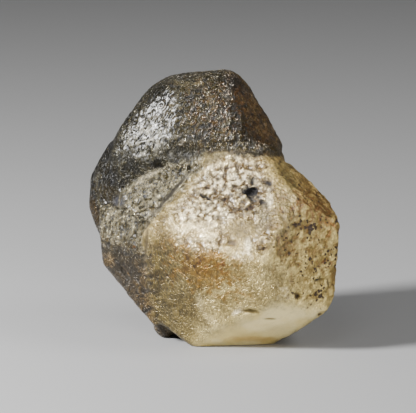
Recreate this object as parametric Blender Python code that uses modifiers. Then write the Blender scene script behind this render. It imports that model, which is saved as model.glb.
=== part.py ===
"""Phenakite crystal: one intergrown group of worn crystals that stands on a small flat spot.

A pale, frosted front crystal has grown into a dark rounded cap. Two thin plates and a dark flank
lie between them on the left, a plainer rear crystal backs them, and a small nub hangs below. They
grew into each other, so all of it is one solid.

Each crystal is described the way a crystal is measured, by its flat faces. A face has a bearing
(0 faces the front, 90 the right, 180 the back), a slope (90 faces straight up) and a reach, its
distance from the crystal's own centre. The origin is on the flat spot, below the middle of the
group. Sizes are in millimetres until they are built.
"""

import math
from dataclasses import dataclass

import bmesh
import bpy
import numpy as np
from mathutils import Matrix, Vector

MM = 0.001
OBJECT_NAME = "phenakite_crystal"

# How finely each crystal is drawn, and how closely its surface is found
CRYSTAL_DETAIL = 5
FARTHEST_SURFACE = 60.0
SEARCH_STEPS = 40
STEEPEST_TERM = 50.0

# The skin of the fused group: its grain, how far its edges are worn, and its gentle lumps
SKIN_GRAIN = 0.35
SKIN_WEAR_FACTOR = 0.5
SKIN_WEAR_PASSES = 4
LUMP_SIZE = 6.0
LUMP_HEIGHT = 0.5
TRIANGLES_KEPT_SHARE = 0.085


@dataclass(frozen=True)
class Face:
    """A flat face: where it looks in degrees, and how far it lies from the centre in mm."""

    bearing: float
    slope: float
    reach: float

    def normal(self):
        turn = math.radians(self.bearing)
        rise = math.radians(self.slope)
        level = math.cos(rise)
        return (math.sin(turn) * level, -math.cos(turn) * level, math.sin(rise))


@dataclass(frozen=True)
class Crystal:
    """A convex crystal: its centre in mm, how round its edges are worn in mm, and its faces."""

    centre: tuple
    wear: float
    faces: dict


@dataclass(frozen=True)
class Ellipsoid:
    """A lump or a dent: its middle and its radii in mm (across, up and outward), and its turn.

    Outward is where the bearing and slope point, and the roll lifts its right side in degrees.
    """

    centre: tuple
    radii: tuple
    bearing: float = 0.0
    slope: float = 90.0
    roll: float = 0.0


FRONT = Crystal(
    centre=(4.0, -1.0, 15.0),
    wear=0.26,
    faces={
        "upper front": Face(-10, 36, 10.1),
        "lower left front": Face(-28, -13.6, 12.15),
        "right front": Face(32, 3.4, 12.4),
        "lower middle": Face(-15.9, -18.5, 11.5),
        "bottom front": Face(7.3, -43, 13.3),
        "bottom right front": Face(24.2, -43, 15.0),
        "upper right": Face(69.7, 48.3, 13.2),
        "upper right back": Face(121, 36.8, 12.7),
        "right back": Face(128, 4, 12.4),
        "right": Face(105, -6, 12.6),
        "lower right": Face(100, -28, 14.5),
        "under right": Face(80, -54, 15.6),
        "under left": Face(-72, -53.6, 17.1),
        "left": Face(-104, -3.7, 12.6),
        "upper left": Face(-105, 41.8, 11.05),
        "back": Face(180, 8, 12.0),
        "under back": Face(170, -38, 14.0),
        "top": Face(170, 68, 11.9),
        "ground": Face(0, -90, 16.0),
    },
)

CAP = Crystal(
    centre=(-3.0, 4.0, 29.0),
    wear=0.42,
    faces={
        "left front": Face(-32.5, 21.5, 7.9),
        "front": Face(3, 17, 7.3),
        "front right": Face(31, 21, 8.9),
        "front low": Face(4, -46, 4.5),
        "top front": Face(2, 54, 9.7),
        "right front": Face(59, 25, 9.9),
        "right": Face(90, 30.7, 12.1),
        "upper right": Face(90, 56, 12.1),
        "top": Face(-90, 83, 10.6),
        "upper left": Face(-90, 62, 10.3),
        "left": Face(-90, 38, 10.1),
        "lower left": Face(-90, 24, 11.0),
        "under left": Face(-85, -35, 12.4),
        "back left": Face(-145, 22, 10.0),
        "back": Face(172, 18, 10.4),
        "back right": Face(128, 24, 10.4),
        "top back": Face(180, 56, 10.8),
        "recess": Face(-20, -50, 6.1),
        "under back": Face(175, -35, 11.0),
        "under right": Face(110, -30, 12.0),
        "under": Face(0, -90, 14.0),
    },
)

# The shaded neck under the cap's ledge
NECK = Crystal(
    centre=(-10.0, 4.0, 25.0),
    wear=0.2,
    faces={
        "recess": Face(18, -40, 3.75),
        "left front": Face(-32.5, -25, 3.7),
        "left": Face(-90, 10, 5.2),
        "right": Face(90, 0, 7.0),
        "back": Face(180, 0, 5.0),
        "top": Face(0, 90, 3.0),
        "under": Face(0, -90, 5.0),
    },
)

FLANK = Crystal(
    centre=(-11.0, 5.0, 18.0),
    wear=0.3,
    faces={
        "front": Face(-44, 10, 6.2),
        "left": Face(-92, 2.9, 8.0),
        "upper left": Face(-90, 31, 9.4),
        "lower left": Face(-87.5, -27, 6.8),
        "back left": Face(-140, 4, 7.0),
        "back": Face(176, 6, 6.4),
        "right": Face(70.5, 16.8, 0.4),
        "under": Face(-60, -50, 7.5),
        "under back": Face(180, -50, 11.0),
        "top": Face(0, 90, 10.5),
    },
)

UPPER_PLATE = Crystal(
    centre=(-8.0, 0.0, 21.0),
    wear=0.1,
    faces={
        "front": Face(-21.2, 41, 4.5),
        "ridge back": Face(-118, 55, 4.25),
        "left": Face(-86, 22, 6.0),
        "lower left": Face(-63, -59, 3.9),
        "right": Face(75, -41.8, 2.7),
        "end": Face(90, 0, 7.0),
        "back": Face(180, -40, 5.0),
    },
)

LOWER_PLATE = Crystal(
    centre=(-9.0, 0.0, 13.0),
    wear=0.12,
    faces={
        "upper front": Face(-45, 8, 5.9),
        "lower front": Face(-46.8, -12.9, 5.3),
        "top": Face(-90, 80, 8.1),
        "left": Face(-90.5, -2.8, 7.9),
        "lower left": Face(-79, -39, 7.0),
        "right": Face(76, 0, 1.5),
        "back": Face(180, 0, 6.0),
        "under": Face(180, -60, 12.0),
        "ground": Face(0, -90, 12.0),
    },
)

REAR = Crystal(
    centre=(-2.0, 6.0, 17.0),
    wear=0.3,
    faces={
        "front": Face(0, -12, 4.0),
        "left": Face(-90, 4, 13.4),
        "back left": Face(-138, 8, 12.0),
        "back": Face(176, 4, 8.6),
        "back right": Face(130, 6, 12.0),
        "right": Face(90, 8, 12.5),
        "upper right": Face(95, 45, 11.6),
        "upper back": Face(178, 50, 12.2),
        "upper left": Face(-95, 45, 15.2),
        "under left": Face(-84, -40, 10.6),
        "under back": Face(-170, -38, 11.6),
        "under right": Face(100, -44, 13.0),
        "top": Face(0, 90, 12.0),
    },
)

CRYSTALS = (FRONT, CAP, NECK, FLANK, UPPER_PLATE, LOWER_PLATE, REAR)

# The swelling on the cap's left shoulder, and the small nub below the left of the front crystal
SHOULDER = Ellipsoid(centre=(-9.2, 0.7, 31.3), radii=(5.4, 4.8, 1.3), bearing=-33, slope=22)
NUB = Ellipsoid(centre=(-7.4, 0.0, 3.4), radii=(2.0, 2.3, 3.6))
LUMPS = (SHOULDER, NUB)
LUMP_DETAIL = 4

# Pits and a groove where the surface dissolved away
HOLLOWS = {
    "large pit on the upper front": Ellipsoid((5.5, -7.4, 23.9), (0.9, 0.75, 0.8), -9, 38),
    "slit left of it": Ellipsoid((-1.1, -6.8, 23.1), (1.0, 0.4, 0.6), -15, 38, -25),
    "pit below the smooth patch": Ellipsoid((7.3, -13.1, 16.3), (0.7, 0.4, 0.5), -11, 35, 10),
    "upper pit on the right": Ellipsoid((16.2, -8.3, 10.4), (0.75, 0.6, 0.6), 31, 1),
    "middle pit on the right": Ellipsoid((12.6, -10.7, 8.5), (0.55, 0.7, 0.6), 33, 6),
    "lower pit on the right": Ellipsoid((15.9, -8.3, 5.3), (0.6, 0.45, 0.6), 45, -24, 35),
    "pit beside the plates": Ellipsoid((-14.5, -1.6, 20.6), (0.8, 0.8, 1.2), -70, 16),
    "groove on the lower plate": Ellipsoid((-13.3, -2.4, 10.2), (1.6, 0.45, 0.6), -50, -11, -45),
}
HOLLOW_DETAIL = 4

# The block of air below the flat spot
GROUND_SIDE = 60.0
GROUND_DEPTH = 20.0


def clear_scene():
    """Removes what is in the scene."""
    for found in list(bpy.data.objects):
        bpy.data.objects.remove(found, do_unlink=True)


def new_collection(name):
    """A collection in the scene."""
    made = bpy.data.collections.new(name)
    bpy.context.scene.collection.children.link(made)
    return made


def add_object(name, shape, collection):
    """Puts a bmesh in a collection as an object."""
    mesh = bpy.data.meshes.new(name)
    shape.to_mesh(mesh)
    shape.free()
    made = bpy.data.objects.new(name, mesh)
    collection.objects.link(made)
    return made


def as_helper(helper):
    """Marks an object that only joins or cuts."""
    helper.hide_render = True
    helper.display_type = "WIRE"
    return helper


def surface_distances(crystal, directions):
    """How far a crystal's worn surface lies from its centre in each direction, in mm.

    A point lies on the surface where its nearness to all the faces adds up to one. Close to one
    face only that face counts, and where two faces meet both do, so the edge between them is worn.
    """
    normals = np.array([face.normal() for face in crystal.faces.values()])
    reaches = np.array([face.reach for face in crystal.faces.values()])
    facing = directions @ normals.T
    inner = np.zeros(len(directions))
    outer = np.full(len(directions), FARTHEST_SURFACE)
    for _ in range(SEARCH_STEPS):
        middle = (inner + outer) / 2
        terms = (facing * middle[:, None] - reaches) / crystal.wear
        nearness = np.exp(np.minimum(terms, STEEPEST_TERM)).sum(axis=1)
        outer = np.where(nearness > 1.0, middle, outer)
        inner = np.where(nearness > 1.0, inner, middle)
    return inner


def grow_crystal(group, crystal):
    """Adds a crystal to the group: a sphere drawn in to the crystal's faces."""
    points = bmesh.ops.create_icosphere(group, subdivisions=CRYSTAL_DETAIL, radius=1.0)["verts"]
    directions = np.array([point.co.normalized() for point in points])
    distances = surface_distances(crystal, directions)
    places = (np.array(crystal.centre) + directions * distances[:, None]) * MM
    for point, place in zip(points, places):
        point.co = place


def add_ellipsoid(group, ellipsoid, detail):
    """Adds an ellipsoid to a bmesh."""
    out = Vector(Face(ellipsoid.bearing, ellipsoid.slope, 0.0).normal())
    turned = out.to_track_quat("Z", "Y").to_matrix().to_4x4()
    rolled = Matrix.Rotation(math.radians(ellipsoid.roll), 4, "Z")
    stretched = Matrix.Diagonal((*(radius * MM for radius in ellipsoid.radii), 1.0))
    placed = Matrix.Translation(Vector(ellipsoid.centre) * MM) @ turned @ rolled @ stretched
    bmesh.ops.create_icosphere(group, subdivisions=detail, radius=1.0, matrix=placed)


def make_hollows(collection):
    """All the hollows, in one object."""
    shape = bmesh.new()
    for hollow in HOLLOWS.values():
        add_ellipsoid(shape, hollow, HOLLOW_DETAIL)
    return add_object("hollows", shape, collection)


def make_ground(collection):
    """The block of air below the flat spot that the group rests on."""
    block = bmesh.new()
    size = Matrix.Diagonal((GROUND_SIDE * MM, GROUND_SIDE * MM, GROUND_DEPTH * MM, 1.0))
    below = Matrix.Translation((0.0, 0.0, -GROUND_DEPTH / 2 * MM))
    bmesh.ops.create_cube(block, size=1.0, matrix=below @ size)
    return add_object("below_ground", block, collection)


def cut_away(body, helper):
    """Cuts a helper's shape from the body."""
    step = body.modifiers.new(f"Cut {helper.name}", "BOOLEAN")
    step.operation = "DIFFERENCE"
    step.solver = "EXACT"
    step.object = helper


def fuse(body, name):
    """Draws one skin round everything in the body."""
    skin = body.modifiers.new(name, "REMESH")
    skin.mode = "VOXEL"
    skin.voxel_size = SKIN_GRAIN * MM


def wear_down(body):
    """Wears the skin and gives it the gentle lumps of natural faces."""
    worn = body.modifiers.new("Worn", "SMOOTH")
    worn.factor = SKIN_WEAR_FACTOR
    worn.iterations = SKIN_WEAR_PASSES
    clouds = bpy.data.textures.new("Lumps", "CLOUDS")
    clouds.noise_scale = LUMP_SIZE * MM
    clouds.noise_depth = 1
    lumps = body.modifiers.new("Lumps", "DISPLACE")
    lumps.texture = clouds
    lumps.texture_coords = "GLOBAL"
    lumps.strength = LUMP_HEIGHT * MM
    lumps.mid_level = 0.5
    fewer = body.modifiers.new("Fewer triangles", "DECIMATE")
    fewer.ratio = TRIANGLES_KEPT_SHARE


def make_stone():
    """The crystal's own pale, frosted, iron-stained look."""
    stone = bpy.data.materials.new("Frosted phenakite")
    stone.use_nodes = True
    shader = stone.node_tree.nodes["Principled BSDF"]
    shader.inputs["Base Color"].default_value = (0.34, 0.29, 0.19, 1.0)
    shader.inputs["Roughness"].default_value = 0.42
    shader.inputs["Metallic"].default_value = 0.0
    return stone


def main():
    """Builds the crystal group."""
    clear_scene()
    solids = new_collection("Phenakite crystal")
    helpers = new_collection("Helpers")
    group = bmesh.new()
    for crystal in CRYSTALS:
        grow_crystal(group, crystal)
    for lump in LUMPS:
        add_ellipsoid(group, lump, LUMP_DETAIL)
    body = add_object(OBJECT_NAME, group, solids)
    fuse(body, "Fused crystals")
    cut_away(body, as_helper(make_hollows(helpers)))
    fuse(body, "One skin")
    wear_down(body)
    cut_away(body, as_helper(make_ground(helpers)))
    body.data.materials.append(make_stone())


if __name__ == "__main__":
    main()
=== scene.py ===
"""The looks of a phenakite crystal: worn faces, relief, stains and the dark film on part of it.

The group is grown again from the same flat faces as its solid, each crystal cut from a block,
worn, and fused with the others into one skin. The skin is then carved and painted by named
marks, and one material reads what was painted. Sizes are in millimetres until they are built.
"""

import logging
import math
from dataclasses import dataclass
from enum import Enum

import bpy
import numpy as np
from mathutils import Euler, Matrix, Vector
from mathutils.noise import fractal, voronoi


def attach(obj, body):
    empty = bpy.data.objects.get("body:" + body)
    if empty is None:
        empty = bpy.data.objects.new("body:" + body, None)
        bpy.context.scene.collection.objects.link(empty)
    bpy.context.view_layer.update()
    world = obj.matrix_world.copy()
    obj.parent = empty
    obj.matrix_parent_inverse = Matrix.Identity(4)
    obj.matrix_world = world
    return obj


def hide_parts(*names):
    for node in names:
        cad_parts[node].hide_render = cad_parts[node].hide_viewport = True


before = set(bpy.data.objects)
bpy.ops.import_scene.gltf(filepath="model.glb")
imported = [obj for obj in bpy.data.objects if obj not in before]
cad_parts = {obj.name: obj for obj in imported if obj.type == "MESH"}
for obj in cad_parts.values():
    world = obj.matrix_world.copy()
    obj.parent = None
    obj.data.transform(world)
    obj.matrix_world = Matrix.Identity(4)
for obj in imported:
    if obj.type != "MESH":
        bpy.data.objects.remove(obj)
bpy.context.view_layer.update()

MM = 0.001
# How far off a cut may be, in metres
CUT_SLACK = 1e-7
LOG = logging.getLogger("phenakite")

Triple = tuple[float, float, float]


def deselect_all() -> None:
    """Leaves nothing selected."""
    bpy.ops.object.select_all(action="DESELECT")


def make_active(piece: bpy.types.Object) -> None:
    """Selects one object alone and makes it the active one.

    Args:
        piece: The object.
    """
    deselect_all()
    piece.select_set(True)
    bpy.context.view_layer.objects.active = piece


def join_all(pieces: list[bpy.types.Object]) -> bpy.types.Object:
    """Joins objects into the first of them.

    Args:
        pieces: The objects.

    Returns:
        The object that holds them all.
    """
    make_active(pieces[0])
    for piece in pieces[1:]:
        piece.select_set(True)
    bpy.ops.object.join()
    return pieces[0]


def apply_modifier(piece: bpy.types.Object, kind: str, **settings: object) -> None:
    """Gives an object a modifier and applies it.

    Args:
        piece: The object.
        kind: The modifier's type.
        **settings: The modifier's own values by name.
    """
    make_active(piece)
    step = piece.modifiers.new(kind.title(), kind)
    for name, value in settings.items():
        setattr(step, name, value)
    bpy.ops.object.modifier_apply(modifier=step.name)


def apply_remesh(piece: bpy.types.Object, grain: float) -> None:
    """Draws one even skin round an object, with a grain in mm."""
    apply_modifier(piece, "REMESH", mode="VOXEL", voxel_size=grain * MM)


def apply_smooth(piece: bpy.types.Object, factor: float, passes: int) -> None:
    """Wears an object's skin evenly."""
    apply_modifier(piece, "SMOOTH", factor=factor, iterations=passes)


def cut_flat(piece: bpy.types.Object, cuts: list[tuple[Vector, Vector]]) -> None:
    """Cuts flat faces on an object, one after the other, and closes it again.

    Args:
        piece: The object.
        cuts: For each face a place on it in metres, and the way the face looks.
    """
    make_active(piece)
    bpy.ops.object.mode_set(mode="EDIT")
    for place, normal in cuts:
        bpy.ops.mesh.select_all(action="SELECT")
        bpy.ops.mesh.bisect(
            plane_co=place, plane_no=normal, use_fill=True, clear_outer=True, threshold=CUT_SLACK
        )
    bpy.ops.object.mode_set(mode="OBJECT")


class Member(Enum):
    """The crystals of the group."""

    FRONT = "front crystal"
    CAP = "cap"
    NECK = "neck"
    FLANK = "flank"
    UPPER_PLATE = "upper plate"
    LOWER_PLATE = "lower plate"
    REAR = "rear crystal"


@dataclass(frozen=True)
class Face:
    """A flat face of a crystal.

    Bearing 0 faces the front, 90 the right and 180 the back. Slope 90 faces straight up. The reach
    is the face's distance from the crystal's own centre in mm.
    """

    bearing: float
    slope: float
    reach: float = 0.0

    def normal(self) -> Vector:
        """Works out the way the face looks.

        Returns:
            A vector of length 1.
        """
        turn = math.radians(self.bearing)
        rise = math.radians(self.slope)
        level = math.cos(rise)
        return Vector((math.sin(turn) * level, -math.cos(turn) * level, math.sin(rise)))


@dataclass(frozen=True)
class Crystal:
    """A crystal cut from a block by its faces and then worn.

    Wear is how far the wearing reaches to each side of an edge, block is the side of the cube that
    it is cut from, and grain is the size of its mesh, all in mm. Wearing spreads with the square
    root of its passes, and passes_a_grain carry it as far as one grain.
    """

    centre: Triple
    wear: float
    faces: dict[str, Face]
    block: float = 70.0
    grain: float = 0.3
    passes_a_grain: int = 4

    def build(self, name: str) -> bpy.types.Object:
        """Cuts the crystal from its block and wears its edges.

        Args:
            name: What the object is called.

        Returns:
            The crystal's object.
        """
        middle = Vector(self.centre)
        deselect_all()
        bpy.ops.mesh.primitive_cube_add(size=self.block * MM, location=middle * MM)
        made = bpy.context.object
        made.name = name
        bpy.ops.object.transform_apply(location=True, rotation=False, scale=False)
        cuts = [
            ((middle + face.normal() * face.reach) * MM, face.normal()) for face in self.faces.values()
        ]
        cut_flat(made, cuts)
        apply_remesh(made, self.grain)
        apply_smooth(made, 1.0, round(self.passes_a_grain * (self.wear / self.grain) ** 2))
        return made

    def clearances(self, points: np.ndarray) -> dict[str, np.ndarray]:
        """How far points lie outside each face.

        Args:
            points: Places in mm, one to a row.

        Returns:
            A distance for each point by face name, below zero behind the face.
        """
        from_centre = points - np.array(self.centre)
        return {
            name: from_centre @ np.array(face.normal()) - face.reach
            for name, face in self.faces.items()
        }


CRYSTALS = {
    Member.FRONT: Crystal(
        (4.0, -1.0, 15.0),
        0.55,
        {
            "upper front": Face(-10, 36, 10.1),
            "lower left front": Face(-28, -13.6, 12.15),
            "right front": Face(32, 3.4, 12.4),
            "lower middle": Face(-15.9, -18.5, 11.5),
            "bottom front": Face(7.3, -43, 13.3),
            "bottom right front": Face(24.2, -43, 15.0),
            "upper right": Face(69.7, 48.3, 13.2),
            "upper right back": Face(121, 36.8, 12.7),
            "right back": Face(128, 4, 12.4),
            "right": Face(105, -6, 12.6),
            "lower right": Face(100, -28, 14.5),
            "under right": Face(80, -54, 15.6),
            "under left": Face(-72, -53.6, 17.1),
            "left": Face(-104, -3.7, 12.6),
            "upper left": Face(-105, 41.8, 11.05),
            "back": Face(180, 8, 12.0),
            "under back": Face(170, -38, 14.0),
            "top": Face(170, 68, 11.9),
            "ground": Face(0, -90, 16.0),
        },
    ),
    Member.CAP: Crystal(
        (-3.0, 4.0, 29.0),
        1.0,
        {
            "left front": Face(-32.5, 21.5, 7.9),
            "front": Face(3, 17, 7.3),
            "front right": Face(31, 21, 8.9),
            "front low": Face(4, -46, 4.5),
            "top front": Face(2, 54, 9.7),
            "right front": Face(59, 25, 9.9),
            "right": Face(90, 30.7, 12.1),
            "upper right": Face(90, 56, 12.1),
            "top": Face(-90, 83, 10.15),
            "upper left": Face(-90, 62, 10.3),
            "left": Face(-90, 38, 10.1),
            "lower left": Face(-90, 24, 11.0),
            "under left": Face(-85, -35, 12.4),
            "back left": Face(-145, 22, 10.0),
            "back": Face(172, 18, 10.4),
            "back right": Face(128, 24, 10.4),
            "top back": Face(180, 56, 10.8),
            "recess": Face(-20, -50, 6.1),
            "under back": Face(175, -35, 11.0),
            "under right": Face(110, -30, 12.0),
            "under": Face(0, -90, 14.0),
        },
    ),
    Member.NECK: Crystal(
        (-10.0, 4.0, 25.0),
        0.4,
        {
            "recess": Face(18, -40, 3.75),
            "left front": Face(-32.5, -25, 3.7),
            "left": Face(-90, 10, 5.2),
            "right": Face(90, 0, 7.0),
            "back": Face(180, 0, 5.0),
            "top": Face(0, 90, 3.0),
            "under": Face(0, -90, 5.0),
        },
    ),
    Member.FLANK: Crystal(
        (-11.0, 5.0, 18.0),
        0.65,
        {
            "front": Face(-44, 10, 6.2),
            "left": Face(-92, 2.9, 8.0),
            "upper left": Face(-90, 31, 9.4),
            "lower left": Face(-87.5, -27, 6.8),
            "back left": Face(-140, 4, 7.0),
            "back": Face(176, 6, 6.4),
            "right": Face(70.5, 16.8, 0.4),
            "under": Face(-60, -50, 7.5),
            "under back": Face(180, -50, 11.0),
            "top": Face(0, 90, 10.5),
        },
    ),
    Member.UPPER_PLATE: Crystal(
        (-8.0, 0.0, 21.0),
        0.22,
        {
            "front": Face(-21.2, 41, 4.5),
            "ridge back": Face(-118, 55, 3.8),
            "left": Face(-86, 22, 6.0),
            "lower left": Face(-63, -59, 3.9),
            "right": Face(75, -41.8, 2.7),
            "end": Face(90, 0, 7.0),
            "back": Face(180, -40, 5.0),
        },
    ),
    Member.LOWER_PLATE: Crystal(
        (-9.0, 0.0, 13.0),
        0.27,
        {
            "upper front": Face(-45, 8, 5.9),
            "lower front": Face(-46.8, -12.9, 5.3),
            "top": Face(-90, 80, 8.1),
            "left": Face(-90.5, -2.8, 7.9),
            "lower left": Face(-79, -39, 7.0),
            "right": Face(76, 0, 1.5),
            "back": Face(180, 0, 6.0),
            "under": Face(180, -60, 12.0),
            "ground": Face(0, -90, 12.0),
        },
    ),
    Member.REAR: Crystal(
        (-2.0, 6.0, 17.0),
        0.65,
        {
            "front": Face(0, -12, 4.0),
            "left": Face(-90, 4, 13.4),
            "back left": Face(-138, 8, 12.0),
            "back": Face(176, 4, 8.6),
            "back right": Face(130, 6, 12.0),
            "right": Face(90, 8, 12.5),
            "upper right": Face(95, 45, 11.6),
            "upper back": Face(178, 50, 12.2),
            "upper left": Face(-95, 45, 15.2),
            "under left": Face(-84, -40, 10.6),
            "under back": Face(-170, -38, 11.6),
            "under right": Face(100, -44, 13.0),
            "top": Face(0, 90, 12.0),
        },
    ),
}


@dataclass(frozen=True)
class Ellipsoid:
    """A lump or a hollow.

    It has its middle and its radii (across, up and outward) in mm, the way it faces, its roll
    round that way in degrees, and how often the ball that it starts from is divided.
    """

    centre: Triple
    radii: Triple
    bearing: float = 0.0
    slope: float = 90.0
    roll: float = 0.0
    fineness: int = 4

    def build(self, name: str) -> bpy.types.Object:
        """Makes the ellipsoid as a mesh object.

        Args:
            name: What the object is called.

        Returns:
            The ellipsoid's object.
        """
        deselect_all()
        bpy.ops.mesh.primitive_ico_sphere_add(subdivisions=self.fineness, radius=1.0)
        made = bpy.context.object
        made.name = name
        out = Face(self.bearing, self.slope).normal()
        moved = Matrix.Translation(Vector(self.centre) * MM)
        turned = out.to_track_quat("Z", "Y").to_matrix().to_4x4()
        rolled = Matrix.Rotation(math.radians(self.roll), 4, "Z")
        stretched = Matrix.Diagonal((*(radius * MM for radius in self.radii), 1.0))
        made.matrix_world = moved @ turned @ rolled @ stretched
        bpy.ops.object.transform_apply(location=True, rotation=True, scale=True)
        return made


LUMPS = {
    "shoulder": Ellipsoid((-9.2, 0.7, 31.3), (5.4, 4.8, 1.3), -33, 22),
    "nub": Ellipsoid((-7.4, 0.0, 3.4), (2.0, 2.3, 3.6)),
    "filled corner of the seam": Ellipsoid((-0.8, -2.6, 27.7), (2.2, 1.6, 1.2)),
    "filled end of the recess": Ellipsoid((-4.6, -1.7, 27.3), (2.7, 1.9, 1.5)),
    "filled valley below the cap": Ellipsoid((3.2, 0.9, 28.8), (6.4, 3.4, 1.6)),
    "filled corner on the right": Ellipsoid((8.9, 2.0, 26.6), (1.8, 3.2, 2.2)),
}

HOLLOWS = {
    "large pit on the upper front": Ellipsoid((5.5, -7.4, 23.9), (0.75, 0.6, 0.6), -9, 38),
    "slit left of it": Ellipsoid((-1.1, -6.8, 23.1), (1.0, 0.4, 0.6), -15, 38, -25),
    "pit below the smooth patch": Ellipsoid((7.3, -13.1, 16.3), (0.7, 0.4, 0.5), -11, 35, 10),
    "upper pit on the right": Ellipsoid((16.2, -8.3, 10.4), (0.75, 0.6, 0.6), 31, 1),
    "middle pit on the right": Ellipsoid((12.6, -10.7, 8.5), (0.55, 0.7, 0.6), 33, 6),
    "lower pit on the right": Ellipsoid((15.9, -8.3, 5.3), (0.6, 0.45, 0.6), 45, -24, 35),
    "pit beside the plates": Ellipsoid((-14.5, -1.6, 20.6), (0.8, 0.8, 1.2), -70, 16),
    "groove on the lower plate": Ellipsoid((-13.3, -2.4, 10.2), (1.6, 0.45, 0.6), -50, -11, -45),
}


class Texture(Enum):
    """The kinds of fine relief that a coat can have."""

    GRAINS = "crystal grains"
    WEAVE = "woven dashes"
    FOLDS = "soft folds"
    FINE = "fine lumps"
    SOFT = "broad lumps"


class Coat(Enum):
    """The finishes that the faces carry."""

    SUGAR = "sugary white etching"
    FOLDED = "soft white folds"
    PALE = "smooth pale face"
    # Painted glow: the bottom faces are paled as if lit by light passing through the crystal
    GLOW = "yellow face with painted glow"
    TAN = "tan dotted face"
    STRIATED = "brown striated face"
    RIM = "beige rim"
    RUSTY = "rusty edge"
    FILM = "silvery film"
    DULL = "dull speckled film"
    BROWN = "brown film"
    # Painted shade: a dark olive coat laid on the recess, the undersides and the faces behind, where shade
    # falls
    PAINTED_SHADE = "olive painted shade"
    PLATE = "silvered plate"
    DARK = "dark flank"


# The lights are neutral, so the colours carry the warmth of the light
WARMTH = (1.0, 0.965, 0.84)
GAMMA = 2.2


def tone(red: float, green: float, blue: float) -> Triple:
    """A colour given from 0 to 255 as it looks, made linear and warmed."""
    return tuple(gain * (value / 255.0) ** GAMMA for gain, value in zip(WARMTH, (red, green, blue)))


@dataclass(frozen=True)
class Finish:
    """How a coat looks.

    The colours are those of its hollows and its crests. Relief is in mm. Glaze is how much of a
    glassy or silvery layer lies over it. The shares of weave, sugar, striae and specks say how
    much of each fine pattern the material adds.
    """

    hollow: Triple
    crest: Triple
    roughness: float
    texture: Texture
    relief: float
    glaze: float = 0.0
    weave: float = 0.0
    sugar: float = 0.0
    striae: float = 0.0
    specks: float = 0.0


FINISHES = {
    Coat.SUGAR: Finish(
        tone(88, 70, 34), tone(244, 226, 182), 0.24, Texture.GRAINS, 0.28, glaze=0.3, sugar=1.0, specks=0.15
    ),
    Coat.FOLDED: Finish(
        tone(140, 120, 80), tone(250, 234, 190), 0.22, Texture.FOLDS, 0.3, glaze=0.3, sugar=0.7
    ),
    Coat.PALE: Finish(
        tone(134, 118, 74), tone(174, 157, 108), 0.36, Texture.SOFT, 0.05, glaze=0.2, weave=0.3, sugar=0.4
    ),
    # Pale enough to paint the glow of light through the crystal on the bottom faces
    Coat.GLOW: Finish(
        tone(236, 216, 150), tone(248, 232, 178), 0.3, Texture.SOFT, 0.03, glaze=0.3, sugar=0.06
    ),
    Coat.TAN: Finish(
        tone(126, 106, 52), tone(194, 175, 116), 0.4, Texture.FINE, 0.09, glaze=0.08, sugar=0.5, specks=1.0
    ),
    Coat.STRIATED: Finish(
        tone(50, 42, 17), tone(105, 91, 49), 0.34, Texture.FINE, 0.06,
        glaze=0.1, weave=0.35, sugar=0.2, striae=0.9,
    ),
    Coat.RIM: Finish(
        tone(98, 83, 46), tone(146, 129, 84), 0.34, Texture.FOLDS, 0.08,
        glaze=0.12, weave=0.3, sugar=0.2, striae=0.4,
    ),
    Coat.RUSTY: Finish(
        tone(92, 70, 28), tone(168, 142, 86), 0.46, Texture.FINE, 0.16, sugar=0.5, specks=1.0
    ),
    Coat.FILM: Finish(
        tone(22, 20, 14), tone(72, 69, 58), 0.19, Texture.WEAVE, 0.06, glaze=0.1, weave=1.0
    ),
    Coat.DULL: Finish(
        tone(22, 20, 9), tone(61, 55, 35), 0.3, Texture.WEAVE, 0.06, glaze=0.12, weave=0.9, sugar=0.3
    ),
    Coat.BROWN: Finish(
        tone(36, 28, 13), tone(90, 72, 40), 0.4, Texture.FINE, 0.07, glaze=0.08, weave=0.6, sugar=0.4
    ),
    # The colours of the painted shade
    Coat.PAINTED_SHADE: Finish(
        tone(20, 18, 5), tone(42, 38, 15), 0.46, Texture.FINE, 0.06, weave=0.6, sugar=0.3
    ),
    Coat.PLATE: Finish(
        tone(60, 55, 38), tone(146, 140, 122), 0.22, Texture.WEAVE, 0.07, glaze=0.1, weave=1.0, sugar=0.3
    ),
    Coat.DARK: Finish(
        tone(10, 8, 5), tone(28, 25, 16), 0.34, Texture.WEAVE, 0.06, glaze=0.12, weave=0.9
    ),
}

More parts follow.
